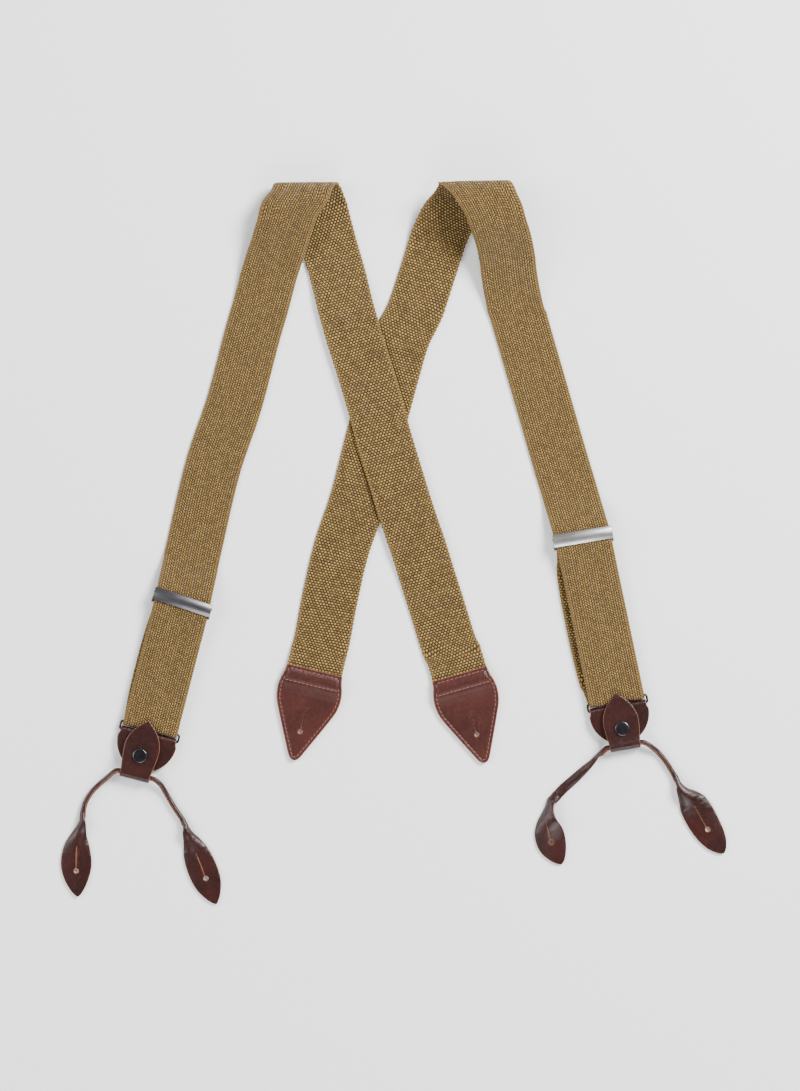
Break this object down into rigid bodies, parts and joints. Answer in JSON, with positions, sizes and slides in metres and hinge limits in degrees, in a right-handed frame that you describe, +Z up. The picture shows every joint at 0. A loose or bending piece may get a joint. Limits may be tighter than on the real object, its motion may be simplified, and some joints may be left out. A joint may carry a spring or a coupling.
{
  "type": "suspenders",
  "caption": "Button-on braces of wide khaki webbing with clamp sliders, wire loops, press-stud leather front ends with mousetail cords and leather back tabs, laid flat.",
  "frame": {"origin": "middle of the laid-out braces in plan, on the surface they lie on", "axes": "+X to the right and +Y to the shoulder folds for someone looking down at the laid-out braces, +Z up from the surface"},
  "size_m": [0.4482, 0.4871, 0.0254],
  "materials": {
    "webbing": "woven khaki webbing, fine twill outside and pebbly inside",
    "leather": "dark reddish-brown, soft sheen",
    "lining": "raw tan flesh side",
    "nickel": "satin nickel plate",
    "gunmetal": "dark gunmetal plate",
    "thread": "waxed reddish-brown sewing thread",
    "raw_edge": "cut leather edge, undyed tan"
  },
  "bodies": {
    "straps": {"left_rear_webbing": "webbing", "left_front_webbing": "webbing", "left_rear_tab_face": "leather", "left_rear_tab_lining": "lining", "right_rear_webbing": "webbing", "right_front_webbing": "webbing", "right_rear_tab_face": "leather", "right_rear_tab_lining": "lining"},
    "left_slider": {"left_slider_frame": "nickel", "left_slider_rear_bar": "gunmetal", "left_clamp_pin": "gunmetal"},
    "left_clamp": {"left_clamp_lever": "nickel"},
    "left_adjuster_loop": {"left_adjuster_loop_webbing": "webbing"},
    "left_ring": {"left_wire_loop": "gunmetal"},
    "left_yoke": {"left_yoke_leather": "leather", "left_snap_strap_back": "leather", "left_snap_stud": "nickel", "left_snap_post": "nickel", "left_mousetail_centre": "leather"},
    "left_flap": {"left_snap_flap": "leather", "left_snap_cap": "gunmetal", "left_snap_socket": "nickel"},
    "left_outer_leg": {"left_outer_cord": "leather", "left_outer_leaf": "leather"},
    "left_inner_leg": {"left_inner_cord": "leather", "left_inner_leaf": "leather"},
    "right_slider": {"right_slider_frame": "nickel", "right_slider_rear_bar": "gunmetal", "right_clamp_pin": "gunmetal"},
    "right_clamp": {"right_clamp_lever": "nickel"},
    "right_adjuster_loop": {"right_adjuster_loop_webbing": "webbing"},
    "right_ring": {"right_wire_loop": "gunmetal"},
    "right_yoke": {"right_yoke_leather": "leather", "right_snap_strap_back": "leather", "right_snap_stud": "nickel", "right_snap_post": "nickel", "right_mousetail_centre": "leather"},
    "right_flap": {"right_snap_flap": "leather", "right_snap_cap": "gunmetal", "right_snap_socket": "nickel"},
    "right_outer_leg": {"right_outer_cord": "leather", "right_outer_leaf": "leather"},
    "right_inner_leg": {"right_inner_cord": "leather", "right_inner_leaf": "leather"}
  },
  "joints": [
    {"name": "left_slider_adjust", "type": "slide", "parent": "straps", "child": "left_slider", "axis": [0.225, 0.9744, 0], "range_m": [-0.06, 0.06], "deforming": ["left_front_webbing"]},
    {"name": "left_loop_take_up", "type": "slide", "parent": "left_slider", "child": "left_adjuster_loop", "axis": [0.225, 0.9744, 0], "range_m": [-0.03, 0.03], "deforming": ["left_adjuster_loop_webbing"]},
    {"name": "left_clamp_open", "type": "hinge", "parent": "left_slider", "child": "left_clamp", "pos_m": [-0.14169, -0.03805, 0.0046], "axis": [0.9511, -0.309, 0], "range_deg": [-75, 0]},
    {"name": "left_ring_swing", "type": "hinge", "parent": "left_adjuster_loop", "child": "left_ring", "pos_m": [-0.16381, -0.12384, 0.0027], "axis": [0.9681, -0.2504, 0], "range_deg": [0, 70]},
    {"name": "left_yoke_swing", "type": "hinge", "parent": "left_ring", "child": "left_yoke", "pos_m": [-0.16519, -0.12916, 0.0027], "axis": [0.9681, -0.2504, 0], "range_deg": [0, 70]},
    {"name": "left_snap_flap_open", "type": "hinge", "parent": "left_yoke", "child": "left_flap", "pos_m": [-0.17407, -0.15553, 0.0084], "axis": [0.9681, -0.2504, 0], "range_deg": [0, 140]},
    {"name": "left_outer_leg_swing", "type": "hinge", "parent": "left_yoke", "child": "left_outer_leg", "pos_m": [-0.186, -0.1525, 0.0051], "axis": [0, 0, 1], "range_deg": [-20, 20]},
    {"name": "left_inner_leg_swing", "type": "hinge", "parent": "left_yoke", "child": "left_inner_leg", "pos_m": [-0.1615, -0.1585, 0.0051], "axis": [0, 0, 1], "range_deg": [-20, 20]},
    {"name": "right_slider_adjust", "type": "slide", "parent": "straps", "child": "right_slider", "axis": [-0.2419, 0.9703, 0], "range_m": [-0.07, 0.045], "deforming": ["right_front_webbing"]},
    {"name": "right_loop_take_up", "type": "slide", "parent": "right_slider", "child": "right_adjuster_loop", "axis": [-0.2419, 0.9703, 0], "range_m": [-0.0225, 0.035], "deforming": ["right_adjuster_loop_webbing"]},
    {"name": "right_clamp_open", "type": "hinge", "parent": "right_slider", "child": "right_clamp", "pos_m": [0.12734, 0.00599, 0.0046], "axis": [0.9863, 0.165, 0], "range_deg": [-75, 0]},
    {"name": "right_ring_swing", "type": "hinge", "parent": "right_adjuster_loop", "child": "right_ring", "pos_m": [0.15052, -0.10479, 0.0027], "axis": [0.9848, 0.1736, 0], "range_deg": [0, 70]},
    {"name": "right_yoke_swing", "type": "hinge", "parent": "right_ring", "child": "right_yoke", "pos_m": [0.15148, -0.11021, 0.0027], "axis": [0.9848, 0.1736, 0], "range_deg": [0, 70]},
    {"name": "right_snap_flap_open", "type": "hinge", "parent": "right_yoke", "child": "right_flap", "pos_m": [0.15595, -0.13557, 0.0084], "axis": [0.9848, 0.1736, 0], "range_deg": [0, 140]},
    {"name": "right_outer_leg_swing", "type": "hinge", "parent": "right_yoke", "child": "right_outer_leg", "pos_m": [0.168, -0.1335, 0.0051], "axis": [0, 0, 1], "range_deg": [-20, 20]},
    {"name": "right_inner_leg_swing", "type": "hinge", "parent": "right_yoke", "child": "right_inner_leg", "pos_m": [0.144, -0.1375, 0.0051], "axis": [0, 0, 1], "range_deg": [-20, 20]}
  ],
  "couplings": [
    {"joint": "left_loop_take_up", "follows": "left_slider_adjust", "ratio": -0.5},
    {"joint": "right_loop_take_up", "follows": "right_slider_adjust", "ratio": -0.5}
  ]
}
